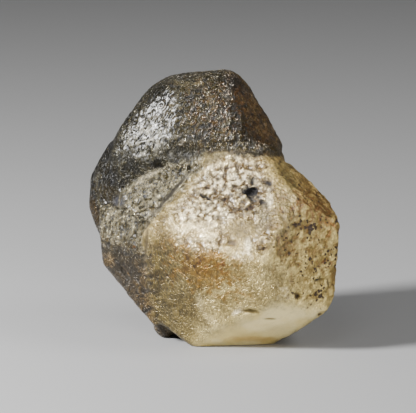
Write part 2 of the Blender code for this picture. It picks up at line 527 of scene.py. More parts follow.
# The usual coat of each crystal, and the coats of the faces that differ from it
COATS = {
    Member.FRONT: (
        Coat.TAN,
        {
            "upper front": Coat.SUGAR,
            "lower left front": Coat.STRIATED,
            "lower middle": Coat.PALE,
            # The bottom faces take the painted glow
            "bottom front": Coat.GLOW,
            "bottom right front": Coat.GLOW,
            "upper right": Coat.RUSTY,
            "right": Coat.RUSTY,
            # Its top, behind the cap, takes the painted shade
            "top": Coat.PAINTED_SHADE,
            "left": Coat.STRIATED,
            "upper left": Coat.RIM,
            "under left": Coat.STRIATED,
        },
    ),
    Member.CAP: (
        Coat.DULL,
        {
            "left front": Coat.FILM,
            "upper left": Coat.FILM,
            "left": Coat.FILM,
            "lower left": Coat.DARK,
            "back left": Coat.FILM,
            # The cap's low front, recess and undersides take the painted shade
            "front low": Coat.PAINTED_SHADE,
            "recess": Coat.PAINTED_SHADE,
            "right front": Coat.BROWN,
            "right": Coat.BROWN,
            "upper right": Coat.BROWN,
            "under right": Coat.PAINTED_SHADE,
            "under": Coat.PAINTED_SHADE,
        },
    ),
    # The neck fills the recess and takes the painted shade
    Member.NECK: (Coat.PAINTED_SHADE, {}),
    Member.FLANK: (Coat.DARK, {}),
    Member.UPPER_PLATE: (Coat.PLATE, {}),
    Member.LOWER_PLATE: (
        Coat.BROWN,
        {"upper front": Coat.PLATE, "top": Coat.PLATE, "left": Coat.DARK},
    ),
    Member.REAR: (
        Coat.TAN,
        {
            "back": Coat.STRIATED,
            "back left": Coat.STRIATED,
            "left": Coat.DARK,
            "under left": Coat.BROWN,
            # Its faces seen in the recess take the painted shade
            "upper left": Coat.PAINTED_SHADE,
            "front": Coat.PAINTED_SHADE,
            "top": Coat.PAINTED_SHADE,
        },
    ),
}


# The least that the noise leaves of the slope of a ragged edge, and a spotted mark's middle share
LEAST_RAGGED = 0.35
SPOT_LEVEL = 0.35


@dataclass(frozen=True)
class Mark:
    """A patch, a stain, a small hollow, a painted highlight or a painted shade on the front, placed as the
    camera sees it.

    The place and half sizes are in view units, of 0.15 mm at the crystal, and the turn is
    clockwise in degrees. Depth is how far it is sunk in mm. A mark has a coat, a tint, both or
    neither. A ragged mark has an uneven edge, and a spotted one is broken up all over.
    """

    x: float
    y: float
    across: float
    along: float
    turn: float = 0.0
    strength: float = 1.0
    coat: Coat | None = None
    tint: Triple | None = None
    depth: float = 0.0
    ragged: float = 0.0
    spotted: float = 0.0
    on: tuple[Member, ...] = (Member.FRONT,)

    def cover(self, survey: "Survey") -> np.ndarray:
        """How much of the mark each corner of the surface has.

        Args:
            survey: The surface.

        Returns:
            A share from 0 to the mark's strength for each corner.
        """
        turn = math.radians(self.turn)
        right = survey.view[:, 0] - self.x
        down = survey.view[:, 1] - self.y
        inward = ((right * math.cos(turn) + down * math.sin(turn)) / self.across) ** 2
        inward += ((down * math.cos(turn) - right * math.sin(turn)) / self.along) ** 2
        inward *= np.maximum(1.0 + self.ragged * survey.fields[Texture.FINE], LEAST_RAGGED)
        member = sum(survey.members[owner] for owner in self.on)
        cover = self.strength * np.exp(-(inward**2)) * survey.facing * member
        if self.spotted:
            cover = cover * np.clip(SPOT_LEVEL + self.spotted * survey.mottle, 0.0, 1.0)
        return cover


CAP_ONLY = (Member.CAP,)
PLATES = (Member.UPPER_PLATE, Member.LOWER_PLATE)
FRONT_AND_PLATES = (Member.FRONT, *PLATES)
LEFT_SIDE = (Member.FLANK, Member.NECK, Member.CAP, Member.LOWER_PLATE, Member.UPPER_PLATE)
ALL_OVER = tuple(Member)

CHARCOAL = tone(30, 28, 30)
DEEP_BROWN = tone(50, 34, 14)
OCHRE = tone(116, 86, 14)
RUST = tone(100, 60, 8)
# White of the frosted grains, also used for painted glints and highlights
WHITE_AND_GLINT = tone(252, 240, 208)
CREAM = tone(214, 196, 150)
OLIVE_GREY = tone(122, 113, 86)
MOTTLED_BROWN = tone(116, 86, 40)
LINE_BROWN = tone(84, 70, 42)

MARKS = {
    "rim beside the plates": Mark(180, 191, 8, 30, 42, 1.0, Coat.RIM, tone(126, 112, 72), ragged=0.4),
    "rim on the left": Mark(162, 228, 22, 18, -20, 1.0, Coat.RIM, ragged=0.8),
    "folds on the left": Mark(196, 231, 21, 9, 12, 1.0, Coat.FOLDED, ragged=0.5),
    "smooth patch": Mark(243, 229, 16, 10, 5, 1.0, Coat.PALE, tone(118, 104, 70), ragged=0.5),
    "smooth strip below it": Mark(242, 252, 22, 9, 8, 0.8, Coat.PALE, ragged=1.0),
    "smooth lower middle": Mark(262, 282, 30, 24, 0, 1.0, Coat.PALE, ragged=0.4),
    "dark edge on the right": Mark(284, 208, 13, 42, -4, 0.85, Coat.TAN, tone(80, 68, 34), ragged=0.8),
    "tan upper right": Mark(281, 175, 19, 12, 40, 0.9, Coat.TAN, tone(136, 120, 74), ragged=0.8),
    "olive strip below the cap": Mark(212, 156, 15, 6, -20, 1.0, Coat.PALE, OLIVE_GREY, ragged=0.4),
    # Dull film, darkened as painted shade in the valley under the cap
    "dull film with painted shade below the cap": Mark(
        236, 147, 52, 5, 3, 1.0, Coat.DULL, tone(62, 55, 32), ragged=0.4, on=(Member.FRONT, Member.CAP)
    ),
    # Painted highlight: the brightest part of the upper front, where the key light reflects, whitened
    "painted highlight on the white folds": Mark(198, 212, 20, 10, 6, 0.95, tint=WHITE_AND_GLINT, ragged=1.2, spotted=1.5),
    "white fleck in the middle": Mark(224, 213, 5, 6, 0, 0.8, tint=WHITE_AND_GLINT, ragged=1.0),
    "white fleck beside the large pit": Mark(269, 199, 3.5, 10, 0, 0.8, tint=WHITE_AND_GLINT, ragged=1.2),
    # White grains, spotted with painted glints where the light catches them
    "white grains with painted glints": Mark(222, 178, 26, 14, -10, 0.7, tint=WHITE_AND_GLINT, ragged=1.2, spotted=2.5),
    "olive patch below the large pit": Mark(263, 216, 8, 12, 0, 0.8, tint=OLIVE_GREY, ragged=0.6),
    "white streak on the smooth patch": Mark(248, 245, 3, 7, 0, 0.8, tint=WHITE_AND_GLINT, ragged=0.4),
    "white flecks below it": Mark(240, 255, 12, 5, 0, 0.6, tint=WHITE_AND_GLINT, ragged=1.2, spotted=2.0),
    "brown between the grains": Mark(
        236, 190, 42, 32, 0, 0.85, tint=tone(70, 54, 24), ragged=0.8, spotted=-2.4
    ),
    "large pit": Mark(252, 191, 6, 7, 0, 1.0, tint=CHARCOAL, depth=0.3, ragged=0.8),
    "left arm of the large pit": Mark(245, 192, 4, 2.2, 30, 1.0, tint=CHARCOAL, depth=0.25, ragged=1.2),
    "lower arm of the large pit": Mark(262, 201, 6, 2.4, 20, 0.9, tint=CHARCOAL, depth=0.25, ragged=1.8),
    "slit below the large pit": Mark(249, 207, 5, 1.8, -25, 1.0, tint=DEEP_BROWN, depth=0.25, ragged=1.2),
    "right arm of the large pit": Mark(258, 196, 4, 2.4, 40, 0.9, tint=CHARCOAL, depth=0.25, ragged=1.6),
    "upper arm of the large pit": Mark(252, 181, 1.8, 5, 10, 0.9, tint=CHARCOAL, depth=0.2, ragged=1.0),
    "pit above the right arm": Mark(268, 182, 4, 2.2, 35, 1.0, tint=CHARCOAL, depth=0.25, ragged=1.0),
    "left slit": Mark(206, 197, 7.5, 1.3, 30, 1.0, tint=CHARCOAL, depth=0.2, ragged=0.3),
    "dot in the middle": Mark(229, 206, 2, 2.4, 0, 1.0, tint=DEEP_BROWN, depth=0.2),
    "slit above the dot": Mark(225, 199, 3.2, 1.4, -20, 1.0, tint=DEEP_BROWN, depth=0.2),
    "slit above the left one": Mark(208, 187, 3.5, 1.3, 10, 1.0, tint=DEEP_BROWN, depth=0.15),
    "slit beside the left one": Mark(213, 203, 2.5, 1.4, 30, 0.9, tint=DEEP_BROWN, depth=0.15),
    "slit below the dot": Mark(232, 212, 5, 1.2, -10, 0.9, tint=DEEP_BROWN, depth=0.15),
    "slit near the top": Mark(226, 168, 4, 1.2, 5, 0.9, tint=DEEP_BROWN, depth=0.15),
    "fainter slit below it": Mark(218, 179, 3, 1.2, 10, 0.8, tint=DEEP_BROWN, depth=0.15),
    "grey pit": Mark(232, 243, 3.5, 2.2, 0, 0.8, tint=tone(90, 80, 72), depth=0.2, ragged=0.8),
    "slit below the smooth patch": Mark(263, 249, 5.5, 1.5, -8, 1.0, tint=DEEP_BROWN, depth=0.2),
    "crack below the cap": Mark(238, 152, 18, 2.2, 4, 0.9, tint=DEEP_BROWN, depth=0.1, ragged=1.0),
    "brown spots on the left": Mark(
        186, 250, 27, 12, 12, 0.8, tint=tone(104, 78, 34), ragged=1.0, spotted=1.2
    ),
    "shade on the lower left": Mark(180, 300, 26, 34, 0, 0.4, tint=tone(66, 55, 25), ragged=0.6),
    "ochre spots": Mark(214, 270, 30, 20, 22, 0.9, tint=OCHRE, ragged=1.3, spotted=1.8),
    "ochre stain": Mark(203, 270, 27, 17, 25, 0.7, tint=OCHRE, ragged=1.0),
    "ochre fleck above the stain": Mark(216, 254, 8, 4.5, 10, 0.8, tint=OCHRE, ragged=0.6),
    "rust left in the stain": Mark(204, 265, 8, 4, 15, 0.9, tint=RUST, ragged=1.2, spotted=1.5),
    "rust right in the stain": Mark(221, 266, 5, 5, 0, 0.8, tint=RUST, ragged=1.2, spotted=1.5),
    "ochre flecks below the stain": Mark(228, 283, 10, 4, 15, 0.7, tint=OCHRE, ragged=1.2, spotted=2.0),
    "dark flecks beside the stain": Mark(
        193, 260, 7, 10, 20, 0.8, tint=DEEP_BROWN, ragged=1.2, spotted=1.8
    ),
    "light bevel": Mark(200, 303, 4, 10, -15, 0.4, tint=CREAM, ragged=0.2),
    "light bevel below it": Mark(210, 319, 4, 9, -48, 0.4, tint=CREAM, ragged=0.2),
    "dark line beside the bevel": Mark(194, 305, 1.8, 11, -15, 0.35, tint=LINE_BROWN, ragged=0.4),
    "dark line below it": Mark(204, 322, 1.8, 9, -48, 0.35, tint=LINE_BROWN, ragged=0.4),
    "slot at the bottom": Mark(250, 312, 9, 2.2, 2, 0.9, tint=tone(80, 66, 24), depth=0.3, ragged=0.5),
    "slit beside the slot": Mark(270, 319, 6, 1.0, 0, 0.8, tint=tone(84, 70, 30), depth=0.15),
    # A raised lip, whitened as a painted highlight
    "raised lip of the slot with a painted highlight": Mark(236, 313, 5, 2.2, -20, 0.5, tint=WHITE_AND_GLINT, depth=-0.1, ragged=1.2),
    # Painted glow: light flecks where light through the crystal comes out at the lower right
    "painted glow on the lower right": Mark(
        284, 292, 7, 8, 0, 0.55, tint=tone(240, 222, 176), ragged=1.4, spotted=2.0
    ),
    "amber edge at the bottom": Mark(255, 339, 26, 2.5, 0, 0.6, tint=tone(206, 168, 100), ragged=0.4),
    "rust on the upper right": Mark(314, 208, 24, 14, 38, 0.8, tint=RUST, ragged=1.4, spotted=2.0),
    "mottling on the right": Mark(
        310, 235, 24, 34, -10, 0.6, tint=MOTTLED_BROWN, ragged=1.0, spotted=2.2
    ),
    "mottling beside the edge": Mark(
        290, 248, 12, 24, 0, 0.5, tint=MOTTLED_BROWN, ragged=1.0, spotted=1.6
    ),
    "rust low on the right": Mark(326, 265, 8, 5, 20, 0.8, tint=RUST, ragged=1.3, spotted=1.8),
    "orange on the right": Mark(
        331, 228, 5, 9, -10, 0.6, tint=tone(160, 108, 48), ragged=0.9, spotted=1.0
    ),
    "pit on the right": Mark(318, 280, 4.2, 1.5, -15, 1.0, tint=CHARCOAL, depth=0.25),
    "slit beside it": Mark(328, 283, 1.3, 5, -10, 0.9, tint=DEEP_BROWN, depth=0.2),
    "pit left of it": Mark(297, 297, 3, 2.6, -30, 1.0, tint=DEEP_BROWN, depth=0.2, ragged=0.8),
    "lowest pit on the right": Mark(320, 315, 2.2, 1.8, 0, 1.0, tint=DEEP_BROWN, depth=0.2),
    "brown on the upper edge": Mark(
        290, 172, 26, 8, 42, 0.45, tint=tone(112, 84, 38), ragged=1.0, spotted=1.0
    ),
    # Painted highlight: the key light's reflection on the cap's left front, lightened in spots
    "painted highlight on the cap": Mark(
        149, 138, 21, 17, 0, 0.9, tint=tone(166, 164, 158), ragged=0.8, spotted=2.2, on=CAP_ONLY
    ),
    # Painted shade: the cap's shoulder darkened beside the highlight
    "painted shade on the shoulder": Mark(157, 98, 15, 12, -40, 0.75, tint=tone(20, 18, 12), ragged=0.6, on=CAP_ONLY),
    # Silvery film, lightened as a second painted highlight
    "film with a painted highlight above the first": Mark(
        176, 108, 8, 10, 0, 0.6, Coat.FILM, tone(112, 108, 94), ragged=0.6, spotted=1.6, on=CAP_ONLY
    ),
    # Painted highlights along the cap's curved steps and edges
    "painted highlight on a ridge of the cap": Mark(209, 97, 3, 17, -25, 0.7, tint=tone(96, 88, 70), ragged=0.6, on=CAP_ONLY),
    "painted highlight on the cap's top edge": Mark(186, 84, 14, 3, 10, 0.6, tint=tone(90, 84, 68), ragged=0.8, on=CAP_ONLY),
    "painted highlight on the cap's right edge": Mark(230, 97, 5, 12, -25, 0.5, tint=tone(84, 76, 58), ragged=0.8, on=CAP_ONLY),
    # Painted shade on the cap's top right, away from the light
    "painted shade on the cap's top right": Mark(237, 86, 13, 9, 25, 0.9, tint=tone(40, 33, 20), ragged=0.6, on=CAP_ONLY),
    "brown below it": Mark(
        239, 104, 7, 12, -15, 0.7, tint=tone(106, 72, 32), ragged=0.8, spotted=1.0, on=CAP_ONLY
    ),
    "brown right side of the cap": Mark(
        260, 126, 12, 34, -26, 0.75, tint=tone(84, 60, 30), ragged=0.8, spotted=1.0, on=CAP_ONLY
    ),
    "brown spots on the cap": Mark(
        218, 112, 34, 30, 0, 0.35, tint=tone(92, 66, 38), ragged=0.8, spotted=2.0, on=CAP_ONLY
    ),
    # Painted glints: grey flecks where the dark flank sparkles
    "painted glints on the left edge": Mark(
        99, 184, 5, 22, 0, 0.5, tint=tone(84, 80, 68), ragged=1.4, spotted=1.5, on=LEFT_SIDE
    ),
    "brown on the left edge": Mark(
        94, 212, 5, 18, -15, 0.7, tint=tone(56, 44, 20), ragged=0.6, on=LEFT_SIDE
    ),
    # Painted shade in the hollow beside the plates
    "painted shade in the hollow beside the plates": Mark(
        112, 196, 16, 10, 35, 0.9, tint=tone(46, 40, 24), ragged=0.6, on=LEFT_SIDE
    ),
    "pit in the hollow": Mark(
        117, 201, 6, 6, 0, 1.0, tint=tone(24, 25, 34), depth=0.3, ragged=0.6, on=LEFT_SIDE
    ),
    # Painted highlight along the crest of the upper plate
    "painted highlight on the crest of the upper plate": Mark(
        160, 168, 38, 3.5, -30, 0.8, tint=tone(176, 168, 148), ragged=0.5, on=PLATES
    ),
    # Painted highlight on the upper plate
    "painted highlight on the upper plate": Mark(
        146, 190, 14, 8, -30, 0.4, tint=tone(168, 162, 150), ragged=1.0, spotted=1.5, on=PLATES
    ),
    # Painted highlight on the lit top of the lower plate
    "painted highlight on the lower plate": Mark(
        128, 228, 15, 14, 35, 0.5, tint=tone(128, 122, 108), ragged=1.2, spotted=1.5, on=PLATES
    ),
    "brown below the lower plate's highlight": Mark(125, 262, 16, 10, 40, 0.8, tint=tone(46, 38, 20), ragged=0.8, on=PLATES),
    "groove on the lower plate": Mark(
        124, 273, 10, 3.2, 48, 1.0, tint=tone(12, 10, 5), depth=0.3, on=PLATES
    ),
    "rust dot": Mark(134, 247, 1.6, 1.6, 0, 0.9, tint=RUST, on=PLATES),
    "seam beside the upper plate": Mark(
        170, 194, 2.2, 33, 41, 1.0, tint=tone(32, 27, 12), depth=0.25, ragged=0.3, on=FRONT_AND_PLATES
    ),
    "seam beside the lower plate": Mark(
        146, 240, 2.0, 26, 3, 0.8, tint=tone(44, 36, 16), depth=0.15, ragged=0.4, on=FRONT_AND_PLATES
    ),
    "dark lower left": Mark(
        122, 288, 27, 50, 20, 0.75, tint=tone(38, 31, 15), ragged=0.8, on=(*PLATES, Member.REAR)
    ),
    "brown nub": Mark(
        162, 332, 14, 12, 0, 1.0, tint=tone(60, 50, 32), on=(Member.LOWER_PLATE, Member.REAR)
    ),
}

# Where edges are worn away further
SOFTENED = {
    "edge below the white face": Mark(212, 252, 72, 12, 10),
    "edges round the lower middle": Mark(228, 284, 48, 26, 0),
    "seam below the cap": Mark(238, 149, 56, 9, 3, on=ALL_OVER),
    "end of the recess": Mark(180, 157, 22, 9, -25, on=ALL_OVER),
    "ridge on the cap": Mark(239, 104, 12, 42, -8, on=CAP_ONLY),
}


@dataclass(frozen=True)
class Noise:
    """A noise over the surface.

    Size is the size of its lumps in mm, and layers is how many finer layers it has. Seed and skew
    say where in the noise it is taken. Places are turned and stretched first.
    """

    size: float
    layers: int
    seed: float
    turn: Triple = (0.0, 0.0, 0.0)
    stretch: Triple = (1.0, 1.0, 1.0)
    skew: float = 0.7
    gain: float = 1.6

    def measure(self, points: np.ndarray) -> np.ndarray:
        """Takes the noise at each place.

        Args:
            points: Places in mm, one to a row.

        Returns:
            A value of about -1 to 1 for each place.
        """
        slant = Euler(self.turn).to_matrix() @ Matrix.Diagonal(self.stretch)
        away = Vector((self.seed, self.seed * self.skew, -self.seed))
        places = points @ np.array(slant)
        values = [fractal(Vector(place) / self.size + away, 1.0, 2.0, self.layers) for place in places]
        return np.clip(np.array(values) * self.gain, -1.0, 1.0)


NOISES = {
    Texture.GRAINS: Noise(0.9, 2, 3.1),
    Texture.WEAVE: Noise(0.56, 2, 7.7, (0.4, 0.5, 0.9), (1.0, 1.0, 0.45)),
    Texture.FOLDS: Noise(1.1, 2, 12.3, (0.0, 0.25, 0.0), (0.3, 1.0, 1.0)),
    Texture.FINE: Noise(1.0, 3, 17.9),
    Texture.SOFT: Noise(3.5, 3, 23.5),
}
# What breaks up the spotted marks, and what moves the bounds of the crystals and coats to and fro
MOTTLE = Noise(0.62, 3, 53.0)
WANDERS = tuple(Noise(1.3, 2, seed) for seed in (31.0, 37.0, 41.0))


class Survey:
    """The surface as measured: its corners, their crystals and coats, and its noise.

    Marks fade where the surface turns edge-on to the camera, the sooner the lower edge_on is. The
    blends are how far crystals and faces run into each other, and wander is how far their bounds
    move to and fro, all in mm, as grain_size is.
    """

    edge_on = 4.0
    grain_size = 0.85
    grain_gain = 1.6
    grain_bed = 0.8
    grain_top = 0.6
    grain_noise = 0.7
    weave_narrowness = 2.6
    member_blend = 0.25
    face_blend = 0.35
    wander = 0.35

    def __init__(self, body: bpy.types.Object, camera: "Studio") -> None:
        """Measures the surface.

        Args:
            body: The group's object.
            camera: The studio, whose camera sees the marks.
        """
        mesh = body.data
        count = len(mesh.vertices)
        places = np.empty(count * 3, dtype=np.float32)
        mesh.vertices.foreach_get("co", places)
        self.points = places.reshape(-1, 3).astype(float) / MM
        facings = np.empty(count * 3, dtype=np.float32)
        mesh.vertex_normals.foreach_get("vector", facings)
        normals = facings.reshape(-1, 3).astype(float)
        self.view, toward = camera.look(self.points)
        self.facing = np.clip((normals * toward).sum(axis=1) * self.edge_on, 0.0, 1.0)
        self.fields = {texture: self.measure(texture) for texture in Texture}
        self.mottle = MOTTLE.measure(self.points)
        self.share_out()

    def measure(self, texture: Texture) -> np.ndarray:
        """Measures one kind of relief.

        Args:
            texture: The kind of relief.

        Returns:
            Its height, from about -1 to 1, for each corner.
        """
        noise = NOISES[texture].measure(self.points)
        if texture is Texture.GRAINS:
            grains = [voronoi(Vector(place) / self.grain_size)[0] for place in self.points]
            ridges = np.array([near[1] - near[0] for near in grains])
            raised = np.clip(self.grain_gain * ridges - self.grain_bed, -1.0, self.grain_top)
            return raised + self.grain_noise * noise
        if texture is Texture.WEAVE:
            return 1.0 - self.weave_narrowness * np.abs(noise)
        return noise

    def share_out(self) -> None:
        """Finds how much of each crystal and each coat every corner has."""
        moves = [noise.measure(self.points) for noise in WANDERS]
        wandered = self.points + self.wander * np.stack(moves, axis=1)
        depths = {}
        shares = {}
        for member, crystal in CRYSTALS.items():
            clear = crystal.clearances(wandered)
            depths[member] = np.max(np.stack(list(clear.values())), axis=0)
            usual, others = COATS[member]
            parts = dict.fromkeys(Coat, 0.0)
            total = 0.0
            for name, outside in clear.items():
                part = np.exp((outside - depths[member]) / self.face_blend)
                coat = others.get(name, usual)
                parts[coat] = parts[coat] + part
                total = total + part
            shares[member] = {coat: part / total for coat, part in parts.items()}
        nearest = np.min(np.stack(list(depths.values())), axis=0)
        near = {
            member: np.exp((nearest - depth) / self.member_blend) for member, depth in depths.items()
        }
        total = sum(near.values())
        self.members = {member: part / total for member, part in near.items()}
        self.coats = {
            coat: sum(self.members[member] * shares[member][coat] for member in Member) for coat in Coat
        }


class Skin:
    """What the surface carries: its relief, its colours and its gloss.

    The relief fades out over foot_height, in mm, above the flat spot that the crystal rests on.
    """

    mid_tone = 0.5
    crest_contrast = 0.7
    broad_contrast = 0.3
    scar_roughness = 0.9
    foot_height = 1.2
    foot_rest = 0.05

    def __init__(self, survey: Survey) -> None:
        """Lays the coats and the marks on the surface.

        Args:
            survey: The surface.
        """
        self.survey = survey
        covers = [(mark, mark.cover(survey)) for mark in MARKS.values()]
        for mark, cover in covers:
            if mark.coat is not None:
                for coat in Coat:
                    survey.coats[coat] = survey.coats[coat] * (1.0 - cover)
                survey.coats[mark.coat] = survey.coats[mark.coat] + cover
        self.heights = sum(
            survey.coats[coat] * finish.relief * survey.fields[finish.texture]
            for coat, finish in FINISHES.items()
        )
        self.softness = np.max([mark.cover(survey) for mark in SOFTENED.values()], axis=0)
        self.colour = self.mixed_colour()
        self.scars = np.zeros(len(self.heights))
        for mark, cover in covers:
            self.heights = self.heights - mark.depth * cover
            if mark.tint is not None:
                part = cover[:, None]
                self.colour = self.colour * (1.0 - part) + np.array(mark.tint) * part
            if mark.depth > 0.0:
                self.scars = np.maximum(self.scars, cover)
        clear_of_foot = np.clip(survey.points[:, 2] / self.foot_height - self.foot_rest, 0.0, 1.0)
        self.heights = self.heights * clear_of_foot

    def mixed_colour(self) -> np.ndarray:
        """Mixes the coats' colours, darker in their hollows and brighter on their crests.

        Returns:
            A colour for each corner.
        """
        survey = self.survey
        colour = np.zeros((len(survey.points), 3))
        broad = self.broad_contrast * survey.fields[Texture.SOFT]
        for coat, finish in FINISHES.items():
            raised = self.mid_tone + self.crest_contrast * survey.fields[finish.texture]
            crest = np.clip(raised + broad, 0.0, 1.0)
            hollow, high = np.array(finish.hollow), np.array(finish.crest)
            colour += survey.coats[coat][:, None] * (hollow + (high - hollow) * crest[:, None])
        return colour

    def blended(self, name: str) -> np.ndarray:
        """One of the finishes' values, mixed by how much of each coat there is."""
        coats = self.survey.coats
        return sum(coats[coat] * getattr(finish, name) for coat, finish in FINISHES.items())

    def paint(self, body: bpy.types.Object) -> None:
        """Stores the colours and the gloss on the surface for the material.

        Args:
            body: The group's object.
        """
        calm = 1.0 - self.scars
        values = {
            "gloss": self.blended("roughness") * calm + self.scar_roughness * self.scars,
            "glaze": self.blended("glaze") * calm,
            "weave": self.blended("weave") * calm,
            "sugar": self.blended("sugar"),
            "striae": self.blended("striae") * calm,
            "specks": self.blended("specks") * calm,
        }
        for name, value in values.items():
            layer = body.data.attributes.new(name, "FLOAT", "POINT")
            layer.data.foreach_set("value", value.astype(np.float32))
        tint = body.data.attributes.new("tint", "FLOAT_COLOR", "POINT")
        opaque = np.ones((len(self.colour), 1))
        tint.data.foreach_set("color", np.hstack((self.colour, opaque)).astype(np.float32).ravel())


@dataclass
class CrystalGroup:
    """The whole intergrown group, as one piece. Its sizes are in mm."""

    name: str = "phenakite_crystal_skin"
    coarse_grain: float = 0.3
    fine_grain: float = 0.239
    evening: float = 0.5
    evening_passes: int = 3
    lump_size: float = 6.0
    lump_height: float = 0.5
    lump_layers: int = 1
    greatest_relief: float = 0.6
    weight_steps: int = 120
    soft_passes: int = 90

    def build(self, studio: "Studio") -> bpy.types.Object:
        """Grows, fuses, carves and paints the group.

        Args:
            studio: The studio, whose camera sees the marks.

        Returns:
            The group's object.
        """
        body = self.fuse()
        LOG.info("fused: %d faces", len(body.data.polygons))
        self.hollow_out(body)
        apply_remesh(body, self.fine_grain)
        apply_smooth(body, self.evening, self.evening_passes)
        self.swell(body)
        LOG.info("skin: %d faces", len(body.data.polygons))
        skin = Skin(Survey(body, studio))
        skin.paint(body)
        self.soften(body, skin.softness)
        self.carve(body, skin.heights)
        cut_flat(body, [(Vector((0, 0, 0)), Vector((0, 0, -1)))])
        LOG.info("carved, painted and set down: %d faces", len(body.data.polygons))
        return body

    def fuse(self) -> bpy.types.Object:
        """Grows the crystals and lumps and fuses them.

        Returns:
            The group's object, still coarse.
        """
        grown = [crystal.build(member.value) for member, crystal in CRYSTALS.items()]
        grown += [lump.build(name) for name, lump in LUMPS.items()]
        body = join_all(grown)
        body.name = self.name
        body.data.name = self.name
        apply_remesh(body, self.coarse_grain)
        return body

    def hollow_out(self, body: bpy.types.Object) -> None:
        """Cuts the larger pits and the groove.

        Args:
            body: The group's object.
        """
        cutters = join_all([hollow.build(name) for name, hollow in HOLLOWS.items()])
        apply_modifier(body, "BOOLEAN", operation="DIFFERENCE", solver="EXACT", object=cutters)
        bpy.data.objects.remove(cutters, do_unlink=True)

    def swell(self, body: bpy.types.Object) -> None:
        """Gives the faces their gentle lumps.

        Args:
            body: The group's object.
        """
        clouds = bpy.data.textures.new("Lumps", "CLOUDS")
        clouds.noise_scale = self.lump_size * MM
        clouds.noise_depth = self.lump_layers
        apply_modifier(
            body,
            "DISPLACE",
            texture=clouds,
            texture_coords="GLOBAL",
            strength=self.lump_height * MM,
            mid_level=0.5,
        )

    def weigh(self, body: bpy.types.Object, name: str, weights: np.ndarray) -> None:
        """Stores a weight from 0 to 1 for each corner.

        Args:
            body: The group's object.
            name: What the vertex group is called.
            weights: The weights. Those beyond 0 to 1 are cut off.
        """
        group = body.vertex_groups.new(name=name)
        steps = np.rint(np.clip(weights, 0.0, 1.0) * self.weight_steps)
        for step in range(1, self.weight_steps + 1):
            chosen = np.flatnonzero(steps == step).tolist()
            if chosen:
                group.add(chosen, step / self.weight_steps, "REPLACE")

    def soften(self, body: bpy.types.Object, softness: np.ndarray) -> None:
        """Wears some edges away further, by a softness from 0 to 1 for each corner."""
        self.weigh(body, "Softened", softness)
        apply_modifier(body, "SMOOTH", vertex_group="Softened", factor=1.0, iterations=self.soft_passes)

    def carve(self, body: bpy.types.Object, heights: np.ndarray) -> None:
        """Raises and sinks the surface.

        Args:
            body: The group's object.
            heights: How far each corner is raised, in mm.
        """
        for name, side in (("Raised", 1.0), ("Sunk", -1.0)):
            self.weigh(body, name, heights * side / self.greatest_relief)
            apply_modifier(
                body,
                "DISPLACE",
                vertex_group=name,
                strength=side * self.greatest_relief * MM,
                mid_level=0.0,
            )


class NodeTree:
    """A short way to lay out shader nodes."""

    colour_inputs = (6, 7)
    colour_output = 2

    def __init__(self, tree: bpy.types.NodeTree) -> None:
        """Takes over a node tree."""
        self.tree = tree

    def add(self, kind: str, inputs: dict | None = None, **settings: object) -> bpy.types.Node:
        """Adds a node.

        Args:
            kind: The node's type, without its prefix.
            inputs: Plain values or sockets by the name or number of the input.
            **settings: The node's own values by name.

        Returns:
            The node.
        """
        node = self.tree.nodes.new("ShaderNode" + kind)
        for name, value in settings.items():
            setattr(node, name, value)
        self.fill(node, inputs or {})
        return node

    def fill(self, node: bpy.types.Node, inputs: dict) -> None:
        """Gives a node's inputs their values.

        Args:
            node: The node.
            inputs: Plain values or sockets by the name or number of the input.
        """
        for key, value in inputs.items():
            if isinstance(value, bpy.types.NodeSocket):
                self.tree.links.new(value, node.inputs[key])
            else:
                node.inputs[key].default_value = value

    def calculate(self, operation: str, *values: object, clamp: bool = False) -> bpy.types.NodeSocket:
        """Adds one step of arithmetic and gives its result."""
        node = self.add("Math", dict(enumerate(values)), operation=operation, use_clamp=clamp)
        return node.outputs[0]

    def calculate_places(self, operation: str, inputs: dict) -> bpy.types.NodeSocket:
        """Adds one step of arithmetic on places and gives its result."""
        return self.add("VectorMath", inputs, operation=operation).outputs[0]

    def noise(
        self, places: bpy.types.NodeSocket, scale: float, detail: float, roughness: float = 0.5
    ) -> bpy.types.Node:
        """Adds a noise, by its lumps a mm, its finer layers and how strong they are."""
        inputs = {"Vector": places, "Scale": scale, "Detail": detail, "Roughness": roughness}
        return self.add("TexNoise", inputs)

    def cells(self, places: bpy.types.NodeSocket, scale: float) -> bpy.types.NodeSocket:
        """Adds cells, by how many there are in a mm, and gives the distance from their middles."""
        return self.add("TexVoronoi", {"Vector": places, "Scale": scale}).outputs["Distance"]

    def mix_colours(self, factor: bpy.types.NodeSocket, *colours: object) -> bpy.types.NodeSocket:
        """Mixes two colours by a factor and gives the result."""
        inputs = {"Factor": factor, **dict(zip(self.colour_inputs, colours))}
        return self.add("Mix", inputs, data_type="RGBA").outputs[self.colour_output]

    def painted(self, name: str, output: str = "Fac") -> bpy.types.NodeSocket:
        """Reads what was painted on the surface under a name."""
        return self.add("Attribute", attribute_name=name).outputs[output]


@dataclass(frozen=True)
class Bend:
    """A broad noise that moves places to and fro.

    It has the noise's lumps a mm, its finer layers, and its reach in mm.
    """

    scale: float
    detail: float
    reach: float

    def apply(self, nodes: NodeTree, places: bpy.types.NodeSocket) -> bpy.types.NodeSocket:
        """Moves places.

        Args:
            nodes: The node tree.
            places: The places.

        Returns:
            The moved places.
        """
        noise = nodes.noise(places, self.scale, self.detail)
        inputs = {0: noise.outputs["Color"], 1: (self.reach,) * 3, 2: places}
        return nodes.calculate_places("MULTIPLY_ADD", inputs)


